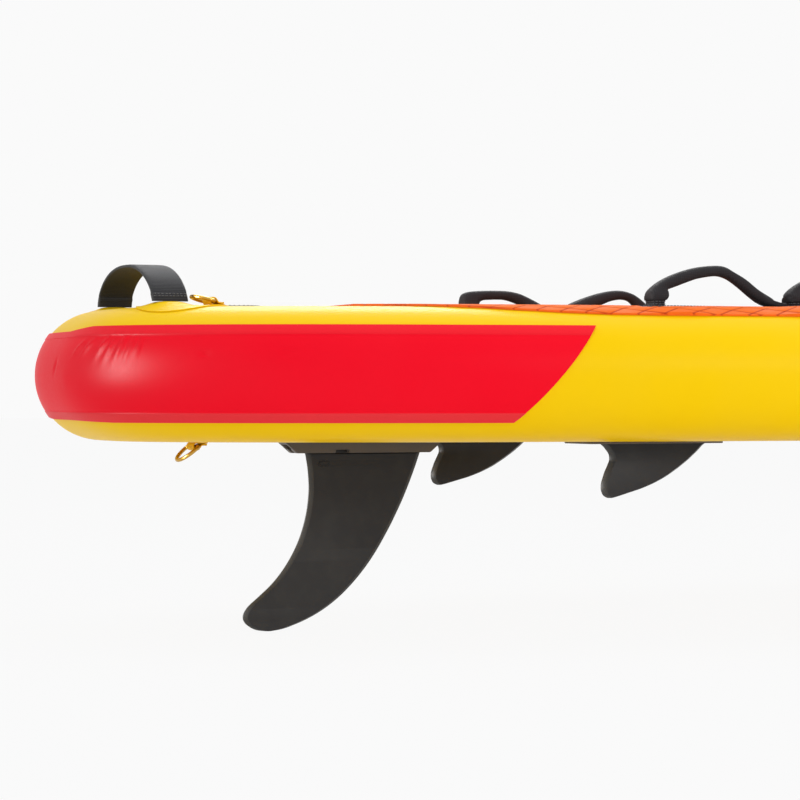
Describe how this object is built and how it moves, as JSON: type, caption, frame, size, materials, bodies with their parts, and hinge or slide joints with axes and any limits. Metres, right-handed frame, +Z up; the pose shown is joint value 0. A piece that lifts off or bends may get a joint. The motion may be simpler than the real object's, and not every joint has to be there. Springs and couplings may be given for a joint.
{
  "type": "lifeguard rescue board",
  "caption": "Inflatable rescue board with a foam deck pad, rows of padded grab handles, towing rings and a slide-in fin.",
  "frame": {"origin": "on the flat underside of the bottom skin, on the centre line at mid-length", "axes": "+X to the nose, +Y to port, +Z up through the deck"},
  "size_m": [3.203, 0.84, 0.5592],
  "materials": {
    "hull_yellow": "semi-gloss welded PVC",
    "rail_red": "semi-gloss PVC",
    "pad_foam": "matt grooved EVA foam",
    "core_fabric": "woven polyester, full of air",
    "webbing": "woven nylon webbing",
    "sleeve": "stitched padded sleeve",
    "blade": "satin moulded nylon",
    "box": "satin moulded PVC",
    "valve": "satin moulded nylon",
    "steel": "polished stainless steel",
    "gasket": "matt rubber"
  },
  "bodies": {
    "hull": {"bottom_skin": "hull_yellow", "carry_handle_grip": "sleeve", "carry_handle_patch": "hull_yellow", "carry_handle_strap": "webbing", "deck_pad": "pad_foam", "deck_port_ring_tab": "hull_yellow", "deck_skin": "hull_yellow", "deck_starboard_ring_tab": "hull_yellow", "drop_stitch_core": "core_fabric", "fin_box": "box", "fin_box_flange": "box", "grab_handle_port_1": "sleeve", "grab_handle_port_2": "sleeve", "grab_handle_port_3": "sleeve", "grab_handle_port_4": "sleeve", "grab_handle_port_5": "sleeve", "grab_handle_port_6": "sleeve", "grab_handle_starboard_1": "sleeve", "grab_handle_starboard_2": "sleeve", "grab_handle_starboard_3": "sleeve", "grab_handle_starboard_4": "sleeve", "grab_handle_starboard_5": "sleeve", "grab_handle_starboard_6": "sleeve", "grab_strip_port": "webbing", "grab_strip_starboard": "webbing", "nose_handle": "webbing", "nose_handle_patch_port": "hull_yellow", "nose_handle_patch_starboard": "hull_yellow", "nose_rail_patch": "rail_red", "nose_ring_patch": "hull_yellow", "nose_ring_tab": "hull_yellow", "rail_band": "hull_yellow", "side_fin_plate_port": "box", "side_fin_plate_starboard": "box", "side_fin_port": "blade", "side_fin_starboard": "blade", "tail_handle": "webbing", "tail_handle_patch_port": "hull_yellow", "tail_handle_patch_starboard": "hull_yellow", "tail_rail_patch": "rail_red", "tow_ring_patch": "hull_yellow", "tow_ring_tab": "hull_yellow", "valve_body": "valve", "valve_gasket": "gasket", "valve_retaining_nut": "valve", "valve_spring": "steel"},
    "centre_fin": {"centre_fin": "blade"},
    "fin_release_button": {"fin_release_button": "box"},
    "valve_poppet": {"valve_poppet": "valve"},
    "valve_cap": {"valve_cap": "valve"},
    "deck_port_ring": {"deck_port_ring": "steel"},
    "deck_starboard_ring": {"deck_starboard_ring": "steel"},
    "tow_ring": {"tow_ring": "steel"},
    "nose_ring": {"nose_ring": "steel"}
  },
  "joints": [
    {"name": "deck_port_ring_swing", "type": "hinge", "parent": "hull", "child": "deck_port_ring", "pos_m": [-1.443, 0.1035, 0.1569], "axis": [0, 1, 0], "range_deg": [-148, 5]},
    {"name": "deck_starboard_ring_swing", "type": "hinge", "parent": "hull", "child": "deck_starboard_ring", "pos_m": [-1.443, -0.1035, 0.1569], "axis": [0, 1, 0], "range_deg": [-2, 151]},
    {"name": "tow_ring_swing", "type": "hinge", "parent": "hull", "child": "tow_ring", "pos_m": [-1.428, 0, -0.0069], "axis": [0, -1, 0], "range_deg": [-28, 120]},
    {"name": "nose_ring_swing", "type": "hinge", "parent": "hull", "child": "nose_ring", "pos_m": [1.30851, 0, 0.26046], "axis": [0, 1, 0], "range_deg": [-2, 151]},
    {"name": "centre_fin_slide", "type": "slide", "parent": "hull", "child": "centre_fin", "axis": [-1, 0, 0], "range_m": [0, 0.09]},
    {"name": "fin_release_press", "type": "slide", "parent": "centre_fin", "child": "fin_release_button", "axis": [0, 1, 0], "range_m": [0, 0.0015], "stiffness_N_per_m": 600, "springref_m": -0.001},
    {"name": "valve_poppet_push", "type": "slide", "parent": "hull", "child": "valve_poppet", "axis": [0, 0, -1], "range_m": [0, 0.004], "stiffness_N_per_m": 800, "springref_m": -0.002, "deforming": ["valve_spring"]},
    {"name": "valve_cap_lift", "type": "slide", "parent": "hull", "child": "valve_cap", "axis": [0, 0, 1], "range_m": [0, 0.03]}
  ]
}
